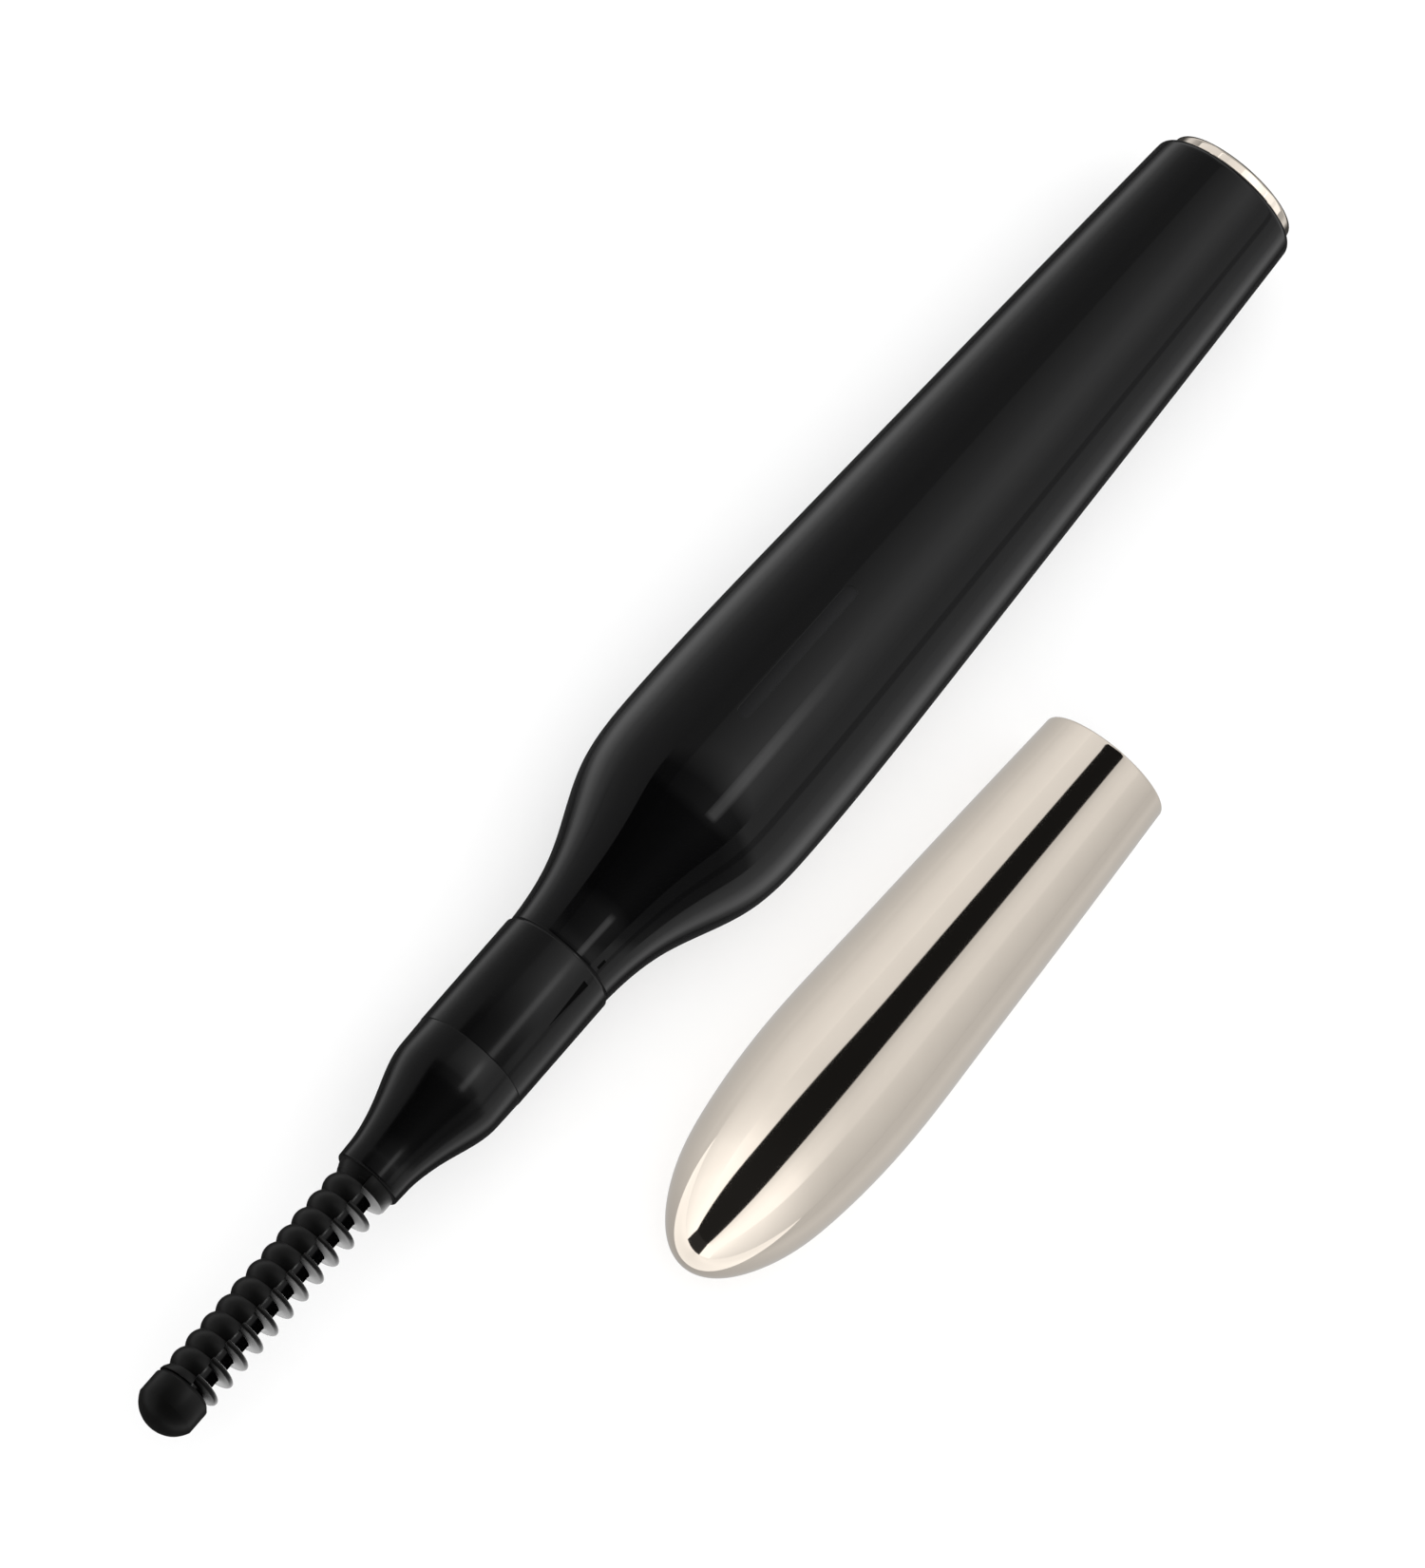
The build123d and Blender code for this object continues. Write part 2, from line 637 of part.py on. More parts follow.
with BuildPart() as cap_shell:
    with BuildSketch(CAP_SECTION):
        with BuildLine():
            cap_curve()
            Line((CAP_LENGTH, 0), (CAP_LENGTH - CAP_WALL, 0))
            cap_curve(CAP_WALL)
            Line((0.5, CAP_LIP_R + 0.04 - CAP_WALL), (0, CAP_LIP_R - 0.4))
            Line((0, CAP_LIP_R - 0.4), (0, CAP_LIP_R - 0.3))
            RadiusArc((0, CAP_LIP_R - 0.3), (0.5, CAP_LIP_R + 0.04), 0.45)
        make_face()
    revolve(axis=CAP_AXIS)
cap_shell.part.label = "cap_shell"
export_step(cap_shell.part, "parts/cap_shell.step")

# plastic sleeve that grips the collar
LINER_END = 40.0

with BuildPart() as cap_liner:
    with BuildSketch(CAP_SECTION):
        with BuildLine():
            Polyline(
                (0.8, CAP_BORE_R),
                (0.8, 6.22),
                (14.0, 6.75),
                (LINER_END, 6.75),
                (LINER_END, 6.15),
                (CAP_BORE_DEPTH + 1.3, 6.15),
                (CAP_BORE_DEPTH + 0.8, CAP_BORE_R),
                close=True,
            )
        make_face()
    revolve(axis=CAP_AXIS)
cap_liner.part.label = "cap_liner"
export_step(cap_liner.part, "parts/cap_liner.step")
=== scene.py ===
"""Looks of a heated eyelash curler pen with its cap taken off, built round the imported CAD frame.

Outlines are in millimetres: x runs along a piece's own axis and r is the radius there.
"""
import json
import math
import bmesh
import bpy
import numpy as np
from mathutils import Matrix, Vector

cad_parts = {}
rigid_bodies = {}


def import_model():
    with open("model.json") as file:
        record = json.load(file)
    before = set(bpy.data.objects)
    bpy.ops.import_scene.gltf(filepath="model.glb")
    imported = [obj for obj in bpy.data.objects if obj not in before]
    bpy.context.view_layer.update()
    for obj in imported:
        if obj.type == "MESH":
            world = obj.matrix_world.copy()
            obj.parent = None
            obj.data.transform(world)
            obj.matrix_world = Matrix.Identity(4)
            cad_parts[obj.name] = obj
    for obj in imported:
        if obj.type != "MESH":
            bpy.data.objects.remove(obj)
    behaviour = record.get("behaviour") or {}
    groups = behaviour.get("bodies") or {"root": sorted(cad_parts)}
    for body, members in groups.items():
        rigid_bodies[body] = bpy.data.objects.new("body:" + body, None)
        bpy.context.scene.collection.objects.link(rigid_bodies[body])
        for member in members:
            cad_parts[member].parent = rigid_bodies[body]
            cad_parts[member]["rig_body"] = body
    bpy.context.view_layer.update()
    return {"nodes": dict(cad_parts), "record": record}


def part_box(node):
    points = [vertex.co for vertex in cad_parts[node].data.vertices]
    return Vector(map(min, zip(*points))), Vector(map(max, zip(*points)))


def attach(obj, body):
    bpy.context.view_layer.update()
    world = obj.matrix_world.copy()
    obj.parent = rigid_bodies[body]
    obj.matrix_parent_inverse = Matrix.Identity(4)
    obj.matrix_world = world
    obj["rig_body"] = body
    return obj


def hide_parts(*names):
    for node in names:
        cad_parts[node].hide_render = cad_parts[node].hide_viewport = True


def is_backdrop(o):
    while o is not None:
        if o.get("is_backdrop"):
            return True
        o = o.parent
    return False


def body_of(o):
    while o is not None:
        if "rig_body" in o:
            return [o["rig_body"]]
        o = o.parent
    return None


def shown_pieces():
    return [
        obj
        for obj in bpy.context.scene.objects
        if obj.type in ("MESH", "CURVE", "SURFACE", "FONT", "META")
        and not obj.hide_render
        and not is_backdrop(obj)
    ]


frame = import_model()

MM = 0.001
SEGMENTS = 192
SHARP = 32                           # degrees between two faces that show an edge

# ---------------------------------------------------------------- places, from the frame
tail_low, tail_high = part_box("tail_cap")
TAIL = Vector((tail_low.x, (tail_low.y + tail_high.y) / 2, (tail_low.z + tail_high.z) / 2))
PEN = (TAIL, Vector((1, 0, 0)))
mounts = {m["name"]: m for m in frame["record"]["mounts"]}
CAP_MOUNT_DEPTH = 6.0
cap_out = Vector(mounts["cap_mouth"]["axis"]).normalized()
CAP_MOUTH = Vector(mounts["cap_mouth"]["pos_m"]) + cap_out * CAP_MOUNT_DEPTH * MM
CAP = (CAP_MOUTH, -cap_out)

# ---------------------------------------------------------------- outlines, the same as the CAD's
PEN_LENGTH = 157.7
WALL = 1.5
BELLY = (75.4, 11.0)
TAPER = [(2.0, 7.7), (20.0, 8.65), (37.4, 9.5), (54.9, 10.35), BELLY]
SHOULDER = [BELLY, (83.2, 10.3), (87.6, 8.65), (92.0, 6.9)]
NECK = (99.1, 5.74)
COLLAR_X = 99.33
COLLAR_R = 5.92
NOSE_X = 111.9
NOSE_END = 126.8
FIN_COUNT = 12
FIN_PITCH = 2.174
FIN_X = 128.1
FIN_R = 3.12
LOBE_R = 2.92
VALLEY_R = 2.52
HEATER_R = 1.8
TIP_X = 152.9
CAP_LENGTH = 62.6
CAP_BELLY = (39.3, 8.6)
CAP_WALL = 0.5
LEVEL = (1, 0)
TAIL_SLOPE = (1, 0.055)              # where the barrel's line starts at its tail, and the cap's at its mouth
MARK_TURN = 101
MARK_X = 65.0
MARK_LENGTH = 16.7
MARK_WIDTH = 1.5
POINTER_TURN = 56


def curve(points, start, end, steps=14):
    """Points of a smooth curve through these points, with the given directions at its ends."""
    p = np.array(points, float)
    chord = np.hypot(*np.diff(p, axis=0).T)
    n = len(p)
    system = np.zeros((n, n))
    right = np.zeros((n, 2))
    system[0, 0] = system[-1, -1] = 1
    right[0] = np.array(start, float) / np.hypot(*start)
    right[-1] = np.array(end, float) / np.hypot(*end)
    for i in range(1, n - 1):
        before, after = chord[i - 1], chord[i]
        system[i, i - 1:i + 2] = after, 2 * (before + after), before
        right[i] = 3 * (after * (p[i] - p[i - 1]) / before + before * (p[i + 1] - p[i]) / after)
    slope = np.linalg.solve(system, right)
    out = [tuple(p[0])]
    for i in range(n - 1):
        for t in np.linspace(0, 1, steps + 1)[1:]:
            h = chord[i]
            q = ((2 * t**3 - 3 * t**2 + 1) * p[i] + (t**3 - 2 * t**2 + t) * h * slope[i]
                 + (3 * t**2 - 2 * t**3) * p[i + 1] + (t**3 - t**2) * h * slope[i + 1])
            out.append(tuple(q))
    return out


def arc(centre, radius, from_deg, to_deg, steps=8):
    """Points of a circular arc, angles counted from +x towards +r."""
    turns = np.radians(np.linspace(from_deg, to_deg, steps + 1))
    return [(centre[0] + radius * math.cos(a), centre[1] + radius * math.sin(a)) for a in turns]


def inset(points, depth):
    return [(x, r - depth) for x, r in points]


def frame_of(axis):
    """Origin, direction and two square directions: +Y side first, then up."""
    origin, direction = axis
    up = Vector((0, 0, 1))
    side = up.cross(direction).normalized()
    return origin, direction, side, direction.cross(side)


def place(axis, x, r, turn):
    """World point at x along an axis, at this radius and angle (radians from +Y towards +Z)."""
    origin, direction, side, up = frame_of(axis)
    return origin + (direction * x + side * (r * math.cos(turn)) + up * (r * math.sin(turn))) * MM


def smooth(mesh, sharp=SHARP):
    """Smooth shading that keeps the edges sharper than this many degrees."""
    for polygon in mesh.polygons:
        polygon.use_smooth = True
    mesh.set_sharp_from_angle(angle=math.radians(sharp))


def new_object(name, vertices, faces):
    mesh = bpy.data.meshes.new(name)
    mesh.from_pydata([tuple(v) for v in vertices], [], faces)
    mesh.validate()
    bm = bmesh.new()
    bm.from_mesh(mesh)
    bmesh.ops.recalc_face_normals(bm, faces=bm.faces)
    bm.to_mesh(mesh)
    bm.free()
    smooth(mesh)
    obj = bpy.data.objects.new(name, mesh)
    bpy.context.scene.collection.objects.link(obj)
    return obj


def swept(axis, outline, closed=False, start=0.0, sweep=360.0, segments=SEGMENTS):
    """Vertices and faces of an outline turned round an axis. Two end faces close a part turn."""
    full = sweep >= 360.0
    count = segments if full else segments + 1
    vertices, rings = [], []
    for x, r in outline:
        if r < 1e-6 and full:
            rings.append([len(vertices)] * count)
            vertices.append(place(axis, x, 0, 0))
            continue
        ring = []
        for k in range(count):
            ring.append(len(vertices))
            vertices.append(place(axis, x, r, math.radians(start + sweep * k / segments)))
        rings.append(ring)
    faces = []
    pairs = list(zip(rings, rings[1:]))
    if closed:
        pairs.append((rings[-1], rings[0]))
    for low, high in pairs:
        for k in range(segments):
            j = (k + 1) % count
            corner = [low[k], low[j], high[j], high[k]]
            corner = [c for i, c in enumerate(corner) if c != corner[i - 1]]
            if len(corner) > 2:
                faces.append(corner)
    if not full:
        faces.append([ring[0] for ring in rings])
        faces.append([ring[-1] for ring in reversed(rings)])
    return vertices, faces


def lathe(name, axis, outline, closed=False, segments=SEGMENTS):
    vertices, faces = swept(axis, outline, closed, segments=segments)
    return new_object(name, vertices, faces)


def join(parts):
    """One list of vertices and faces from several closed solids."""
    vertices, faces = [], []
    for part_vertices, part_faces in parts:
        base = len(vertices)
        vertices += part_vertices
        faces += [[base + i for i in face] for face in part_faces]
    return vertices, faces


def cut(obj, cutter, lining=None):
    """Takes the cutter's solid out of a piece. The lining is the material of the cut faces."""
    if lining:
        for solid in (obj, cutter):
            solid.data.materials.append(None)
            solid.data.materials.append(MATERIALS[lining])
        for polygon in cutter.data.polygons:
            polygon.material_index = 1
    modifier = obj.modifiers.new("cut", "BOOLEAN")
    modifier.operation = "DIFFERENCE"
    modifier.solver = "EXACT"
    modifier.object = cutter
    bpy.context.view_layer.update()
    evaluated = obj.evaluated_get(bpy.context.evaluated_depsgraph_get())
    result = bpy.data.meshes.new_from_object(evaluated)
    obj.modifiers.clear()
    old = obj.data
    obj.data = result
    bpy.data.meshes.remove(old)
    smooth(result)
    bpy.data.objects.remove(cutter)


def prism(name, axis, outline, turn, low, high):
    """Cutter that stands on the axis at this angle: outline points are (x, sideways) in millimetres."""
    a = math.radians(turn)
    origin, direction, side, up = frame_of(axis)
    out = side * math.cos(a) + up * math.sin(a)
    across = up * math.cos(a) - side * math.sin(a)
    vertices = [origin + (direction * x + across * w + out * r) * MM
                for r in (low, high) for x, w in outline]
    n = len(outline)
    faces = [[(i + 1) % n, i, n + i, n + (i + 1) % n] for i in range(n)]
    faces += [list(range(n)), list(range(2 * n - 1, n - 1, -1))]
    return new_object(name, vertices, faces)


def slot_outline(length, width, steps=10):
    """Outline of a bar with round ends, centred on MARK_X."""
    reach = length / 2 - width / 2
    right = arc((MARK_X + reach, 0), width / 2, -90, 90, steps)
    left = arc((MARK_X - reach, 0), width / 2, 90, 270, steps)
    return right + left


# ---------------------------------------------------------------- procedural materials
def material(name, base, rough, metallic=0.0, **settings):
    """A Principled material with fine mottling of its colour and roughness, a light bump, and with a shade
    setting, painted shade that dims the shine in crevices.
    """
    mat = bpy.data.materials.new(name)
    mat.use_nodes = True
    nodes, links = mat.node_tree.nodes, mat.node_tree.links
    shader = nodes["Principled BSDF"]
    shader.inputs["Metallic"].default_value = metallic
    for key, value in settings.get("shader", {}).items():
        shader.inputs[key].default_value = value
    coords = nodes.new("ShaderNodeTexCoord")

    def noise(scale, detail=4.0, stretch=(1, 1, 1)):
        mapping = nodes.new("ShaderNodeMapping")
        mapping.inputs["Scale"].default_value = stretch
        links.new(coords.outputs["Object"], mapping.inputs["Vector"])
        texture = nodes.new("ShaderNodeTexNoise")
        texture.inputs["Scale"].default_value = scale
        texture.inputs["Detail"].default_value = detail
        links.new(mapping.outputs["Vector"], texture.inputs["Vector"])
        return texture.outputs["Fac"]

    def spread(fac, low, high):
        ramp = nodes.new("ShaderNodeMapRange")
        ramp.inputs["To Min"].default_value = low
        ramp.inputs["To Max"].default_value = high
        links.new(fac, ramp.inputs["Value"])
        return ramp.outputs["Result"]

    mottle = settings.get("mottle", 0.08)
    blend = nodes.new("ShaderNodeMix")
    blend.data_type = "RGBA"
    blend.inputs[6].default_value = (*[c * (1 - mottle) for c in base], 1)
    blend.inputs[7].default_value = (*[min(1, c * (1 + mottle)) for c in base], 1)
    links.new(noise(settings.get("mottle_scale", 300.0)), blend.inputs[0])
    links.new(blend.outputs[2], shader.inputs["Base Color"])
    grain = noise(settings.get("rough_scale", 900.0), 5.0, settings.get("stretch", (1, 1, 1)))
    links.new(spread(grain, rough[0], rough[1]), shader.inputs["Roughness"])
    if "shade" in settings:
        # painted shade: an ambient occlusion node makes crevices narrower than this many metres shine less
        crevice_shade = nodes.new("ShaderNodeAmbientOcclusion")
        crevice_shade.inputs["Distance"].default_value = settings["shade"]
        links.new(spread(crevice_shade.outputs["AO"], -0.12, 0.36), shader.inputs["Specular IOR Level"])
    bump = nodes.new("ShaderNodeBump")
    bump.inputs["Strength"].default_value = settings.get("bump", 0.05)
    bump.inputs["Distance"].default_value = settings.get("bump_depth", 0.00002)
    height = noise(settings.get("bump_scale", 2500.0), 3.0, settings.get("stretch", (1, 1, 1)))
    links.new(height, bump.inputs["Height"])
    links.new(bump.outputs["Normal"], shader.inputs["Normal"])
    return mat


MATERIALS = {
    "piano_black": material("piano_black", (0.0035, 0.0035, 0.004), (0.03, 0.055), mottle=0.2, bump=0.015,
                            bump_scale=500.0, shader={"Specular IOR Level": 0.5}),
    "semi_gloss_black": material("semi_gloss_black", (0.004, 0.004, 0.0043), (0.13, 0.19), mottle=0.25,
                                 bump=0.06, bump_scale=3000.0),
    # satin black with painted shade: its crevices shine less through an ambient occlusion node
    "satin_black": material("satin_black", (0.010, 0.0098, 0.0095), (0.34, 0.42), mottle=0.25, bump=0.1,
                            bump_scale=5000.0, shade=0.0012),
    "heater_black": material("heater_black", (0.004, 0.004, 0.0045), (0.16, 0.22), mottle=0.3, bump=0.08),
    "engraving_black": material("engraving_black", (0.002, 0.002, 0.002), (0.6, 0.75), mottle=0.3, bump=0.2,
                                shader={"Specular IOR Level": 0.1}),
    "champagne_metal": material("champagne_metal", (0.775, 0.70, 0.615), (0.05, 0.08), 1.0, mottle=0.02,
                                bump=0.02, rough_scale=1400.0, stretch=(0.06, 1, 1)),
    "liner_black": material("liner_black", (0.02, 0.02, 0.02), (0.35, 0.45), mottle=0.2, bump=0.1),
    "smoked_window": material("smoked_window", (0.022, 0.022, 0.024), (0.38, 0.46), mottle=0.15, bump=0.1),
    "clear_plastic": material("clear_plastic", (0.88, 0.9, 0.91), (0.05, 0.1), mottle=0.02,
                              shader={"Transmission Weight": 0.9}),
    "led_white": material("led_white", (0.85, 0.85, 0.8), (0.3, 0.4)),
    "natural_plastic": material("natural_plastic", (0.75, 0.74, 0.7), (0.4, 0.5)),
    "board_green": material("board_green", (0.02, 0.16, 0.07), (0.3, 0.4), mottle=0.2),
    "chip_black": material("chip_black", (0.03, 0.03, 0.03), (0.45, 0.6), mottle=0.2),
    "brass_strip": material("brass_strip", (0.72, 0.52, 0.22), (0.18, 0.3), 1.0),
    "spring_steel": material("spring_steel", (0.6, 0.6, 0.6), (0.2, 0.3), 1.0),
    "cell_can": material("cell_can", (0.55, 0.56, 0.58), (0.25, 0.35), 1.0, stretch=(0.05, 1, 1)),
    "ceramic_white": material("ceramic_white", (0.85, 0.84, 0.8), (0.4, 0.5)),
    "lead_insulation": material("lead_insulation", (0.4, 0.04, 0.03), (0.4, 0.5)),
}


def dress(obj, slot):
    """The material of a piece, which keeps the lining of its engraved marks."""
    if len(obj.data.materials) > 1:
        obj.data.materials[0] = MATERIALS[slot]
    else:
        obj.data.materials.clear()
        obj.data.materials.append(MATERIALS[slot])


def piece(obj, body, slot, *nodes):
    """A finished visible piece: its material, its body and the CAD nodes it stands for."""
    dress(obj, slot)
    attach(obj, body)
    if nodes:
        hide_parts(*nodes)
    return obj


# ---------------------------------------------------------------- barrel
def taper_line():
    """Outer line of the barrel from the tail to the belly."""
    return curve(TAPER, TAIL_SLOPE, LEVEL, 22)


def make_barrel():
    tail_x, lip_x, lip_r, inner_tail = 1.2, 2.6, 5.6, 6.32
    neck_bore, bore_x, neck_edge = 4.35, 95.2, 0.12
    edge = arc((2.03, 6.86), 0.83, 176, 94, 10)
    front = curve(SHOULDER + [NECK], LEVEL, (1, -0.05), 18)
    inner_front = curve(inset(SHOULDER, WALL) + [(bore_x, 4.8)], LEVEL, (1, -0.2), 10)
    inner_rear = curve([(lip_x, inner_tail)] + inset(TAPER[1:], WALL), TAIL_SLOPE, LEVEL, 10)
    round_neck = arc((NECK[0] - neck_edge, NECK[1] - neck_edge), neck_edge, 90, 0, 4)
    outline = ([(tail_x, lip_r), (tail_x, 6.8)] + edge + taper_line()[1:] + front[1:-1] + round_neck
               + [(NECK[0], neck_bore), (bore_x, neck_bore)]
               + inner_front[::-1] + inner_rear[::-1][1:] + [(lip_x, lip_r)])
    barrel = lathe("barrel", PEN, outline, closed=True, segments=240)
    window = slot_outline(MARK_LENGTH, MARK_WIDTH)
    cut(barrel, prism("mark_cutter", PEN, window, MARK_TURN, 8.0, 12.0))
    line = [(97.6, -0.17), (98.6, -0.17), (98.6, 0.17), (97.6, 0.17)]
    cut(barrel, prism("index_cutter", PEN, line, POINTER_TURN, 5.66, 7.0), "engraving_black")
    return piece(barrel, "handle", "piano_black", "handle_top_shell", "handle_bottom_shell")


def make_window():
    """Slim matt bar that follows the barrel, a little below its gloss."""
    sink, crown, depth, clearance = 0.13, 0.05, 1.1, 0.01
    xs, rs = zip(*taper_line())
    width = MARK_WIDTH / 2 - clearance
    reach = MARK_LENGTH / 2 - clearance
    straight = reach - width
    stations = ([-straight - width * math.cos(t) for t in np.linspace(0.02, math.pi / 2, 9)]
                + list(np.linspace(-straight, straight, 24))[1:-1]
                + [straight + width * math.sin(t) for t in np.linspace(0, math.pi / 2 - 0.02, 9)])
    rows = 7
    top, bottom = [], []
    for x in stations:
        over = max(0.0, abs(x) - straight)
        half = math.sqrt(max(width**2 - over**2, 1e-6))
        radius = float(np.interp(MARK_X + x, xs, rs))
        for k in range(rows):
            w = half * (2 * k / (rows - 1) - 1)
            turn = math.radians(MARK_TURN) + w / radius
            dome = crown * (1 - (w / width) ** 2)
            top.append(place(PEN, MARK_X + x, radius - sink + dome - crown, turn))
            bottom.append(place(PEN, MARK_X + x, radius - depth, turn))
    n, count = len(stations), len(top)
    faces = []
    for i in range(n - 1):
        for k in range(rows - 1):
            a = i * rows + k
            faces.append([a, a + 1, a + rows + 1, a + rows])
            faces.append([count + a, count + a + rows, count + a + rows + 1, count + a + 1])
    rim = list(range(rows))
    rim += [i * rows + rows - 1 for i in range(1, n)]
    rim += [(n - 1) * rows + k for k in range(rows - 2, -1, -1)]
    rim += [i * rows for i in range(n - 2, 0, -1)]
    for i, a in enumerate(rim):
        b = rim[(i + 1) % len(rim)]
        faces.append([a, b, count + b, count + a])
    bar = new_object("status_bar", top + bottom, faces)
    return piece(bar, "handle", "smoked_window", "status_window")


def make_tail_disc():
    radius, edge = 6.75, 0.5
    face = [(0.12, 0.0), (0.12, radius - 1.1), (0.06, radius - 1.0), (0.0, radius - 0.9)]
    rim = arc((edge, radius - edge), edge, 180, 90, 10)
    outline = face + rim + [(1.04, radius), (1.1, radius - 0.06), (1.1, 0.0)]
    return piece(lathe("tail_disc", PEN, outline), "tail_cap", "champagne_metal", "tail_cap")


# ---------------------------------------------------------------- head
def make_collar():
    bore, shank, bead, lip = 3.3, 4.29, 4.9, 5.45
    lip_x = NECK[0] + 0.03            # the lip closes the seam between neck and collar
    rear_edge = arc((COLLAR_X + 0.18, COLLAR_R - 0.18), 0.18, 180, 90, 5)
    front_edge = arc((NOSE_X - 0.05, COLLAR_R - 0.05), 0.05, 90, 0, 3)
    outline = ([(88.3, bore), (88.3, shank), (91.0, shank), (91.0, bead), (92.6, bead), (92.6, shank),
                (lip_x, shank), (lip_x, lip), (COLLAR_X, lip)] + rear_edge + front_edge
               + [(NOSE_X, 4.62), (101.5, 4.62), (101.5, bore)])
    collar = lathe("collar", PEN, outline, closed=True)
    wedge = [(100.4, -0.35), (105.8, -0.02), (105.8, 0.02), (100.4, 0.35)]
    cut(collar, prism("pointer_cutter", PEN, wedge, POINTER_TURN, 5.78, 7.0), "engraving_black")
    return piece(collar, "head", "semi_gloss_black", "head_collar")


def make_nose():
    start = NOSE_X + 0.02
    spigot_x, spigot, bore = 107.0, 4.57, 3.6
    front_edge = arc((start + 0.06, COLLAR_R - 0.1), 0.06, 180, 90, 3)
    slope = curve([(115.0, 5.82), (118.1, 5.17), (120.3, 4.43), (122.5, 3.84), (125.0, 3.48)],
                  (1, -0.03), (1, -0.05), 12)
    lip = arc((NOSE_END - 0.2, 3.22), 0.2, 85, 0, 5)
    mouth = arc((NOSE_END - 0.1, 3.05), 0.1, 0, -90, 3)
    outline = ([(spigot_x, bore), (spigot_x, spigot), (start, spigot)] + front_edge + slope + lip + mouth
               + [(117.0, 2.95), (117.0, bore)])
    return piece(lathe("nose", PEN, outline, closed=True), "head", "semi_gloss_black", "nose_cone")


def make_comb():
    """Thin fins over the front half, and a scalloped spine over the back half."""
    bore = HEATER_R + 0.03
    spine_turn, overlap = 86, 2
    fin_edge, steps = 0.27, 10
    spine = [(NOSE_END + 0.02, bore), (NOSE_END + 0.02, 3.0)]
    spine += [(NOSE_END + 0.4, 2.96), (FIN_X - 0.25, 2.66), (FIN_X, VALLEY_R)]
    for lobe in range(FIN_COUNT - 1):
        for t in np.linspace(0, 1, steps + 1)[1:]:
            bulge = (LOBE_R - VALLEY_R) * (1 - (2 * t - 1) ** 2)
            spine.append((FIN_X + (lobe + t) * FIN_PITCH, VALLEY_R + bulge))
    spine += [(TIP_X - 0.3, LOBE_R - 0.06), (TIP_X - 0.02, LOBE_R), (TIP_X - 0.02, bore)]
    solids = [swept(PEN, spine, True, spine_turn, 2 * (180 - spine_turn), 96)]
    plug = [(119.0, bore), (119.0, 2.9), (NOSE_END + 0.05, 2.9), (NOSE_END + 0.9, 2.75),
            (NOSE_END + 0.9, bore)]
    solids.append(swept(PEN, plug, True))
    start = -spine_turn - overlap
    sweep = 2 * (spine_turn + overlap)
    first = [(NOSE_END + 0.05, bore), (NOSE_END + 0.05, FIN_R - 0.06), (NOSE_END + 0.12, FIN_R),
             (FIN_X, FIN_R), (FIN_X + 0.2, FIN_R - 0.12), (FIN_X + 0.38, bore)]
    solids.append(swept(PEN, first, True, start, sweep, 96))
    for number in range(1, FIN_COUNT):
        x = FIN_X + number * FIN_PITCH
        rim = arc((x, FIN_R - fin_edge), fin_edge, 172, 8, 12)
        fin = [(x - 0.46, bore), (x - 0.33, bore + 0.2)] + rim + [(x + 0.33, bore + 0.2), (x + 0.46, bore)]
        solids.append(swept(PEN, fin, True, start, sweep, 96))
    return piece(new_object("comb", *join(solids)), "head", "satin_black", "comb_guard")


def make_heater():
    """Tube that swells faintly in each gap between two fins."""
    start, end, bore = 112.0, TIP_X - 0.05, 1.45
    steps, wave = 12, 0.02
    outline = [(start, bore), (start, HEATER_R), (FIN_X, HEATER_R)]
    for k in range(1, (FIN_COUNT - 1) * steps):
        swell = wave * math.cos(math.tau * k / steps)
        outline.append((FIN_X + k * FIN_PITCH / steps, HEATER_R - wave - swell))
    outline += [(end, HEATER_R), (end, bore)]
    tube = lathe("heater", PEN, outline, closed=True, segments=96)
    return piece(tube, "head", "heater_black", "heater_tube")


def make_tip():
    shoulder, radius = 155.7, 3.0
    dome = curve([(shoulder, radius), (156.9, 2.15), (PEN_LENGTH, 0.0)], (1, -0.45), (0, -1), 14)
    dome[-1] = (PEN_LENGTH, 0.0)
    outline = [(TIP_X, 0.0), (TIP_X, 2.55), (TIP_X + 0.1, 2.68), (TIP_X + 0.45, 2.98),
               (TIP_X + 0.6, radius)] + dome
    return piece(lathe("comb_end", PEN, outline), "head", "satin_black", "comb_tip")


# ---------------------------------------------------------------- cap
def cap_line(depth=0.0, steps=24):
    """The cap's outer line, or one this deep in its wall, from the open end to the closed one."""
    mouth = (0.5, 6.76 - depth)
    belly = (CAP_BELLY[0], CAP_BELLY[1] - depth)
    rear = curve([mouth, (17.4, 7.66 - depth), (30.5, 8.28 - depth), belly], TAIL_SLOPE, LEVEL, steps)
    end = (CAP_LENGTH - depth, 0.0)
    front = curve([belly, (50.2, 7.84 - depth), (56.7, 6.14 - depth), end], LEVEL, (0, -1), steps)
    front[-1] = end
    return rear + front[1:]


def make_cap():
    outer = cap_line()
    inner = cap_line(CAP_WALL, 12)
    lip = [(0.12, 6.36), (0.0, 6.42)] + arc((0.3, 6.46), 0.3, 175, 95, 8)
    cap = lathe("cap", CAP, inner[::-1] + lip + outer, segments=240)
    return piece(cap, "cap", "champagne_metal", "cap_shell")


def make_cap_sleeve():
    """Sleeve with a bore that fits the collar closely up to the step and is wider past it."""
    start, end, bore, wide_bore, step_x = 0.8, 40.0, 5.97, 6.15, 12.5
    outline = [(start, bore + 0.2), (start, 6.2), (14.0, 6.74), (end, 6.74), (end, wide_bore),
               (step_x + 1.3, wide_bore), (step_x + 0.8, bore), (1.0, bore)]
    return piece(lathe("cap_sleeve", CAP, outline, closed=True), "cap", "liner_black", "cap_liner")


make_barrel()
make_window()
make_tail_disc()
make_collar()
make_nose()
comb = make_comb()
heater = make_heater()
make_tip()
make_cap()
make_cap_sleeve()

